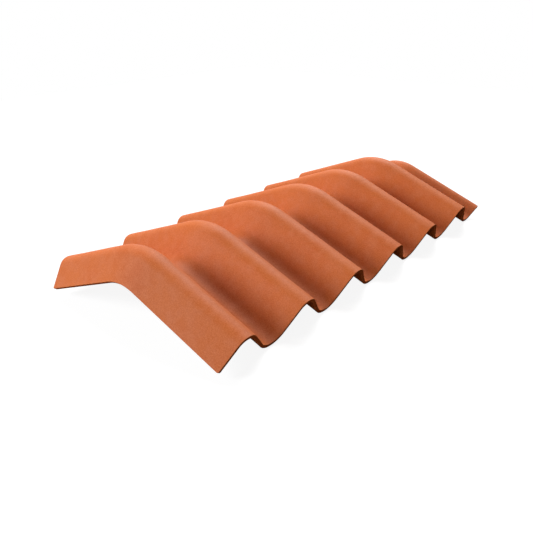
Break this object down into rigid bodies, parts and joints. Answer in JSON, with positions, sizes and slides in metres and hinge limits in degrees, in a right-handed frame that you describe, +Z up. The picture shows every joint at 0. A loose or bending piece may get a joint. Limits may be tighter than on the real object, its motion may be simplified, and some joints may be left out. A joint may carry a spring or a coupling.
{
  "type": "corrugated ridge tile",
  "caption": "Corrugated ridge tile in terracotta-coloured fibre cement, one moulded sheet with two sloping wings that meet in a round bend.",
  "frame": {"origin": "centre of the tile's footprint, on the floor that its eaves stand on", "axes": "+X along the ridge, towards the end with the lip; +Z up; the two wings slope down towards -Y and +Y"},
  "size_m": [1.0924, 0.5738, 0.1698],
  "materials": {
    "fibre_cement": "matte"
  },
  "bodies": {
    "root": {"ridge_tile": "fibre_cement"}
  },
  "joints": []
}
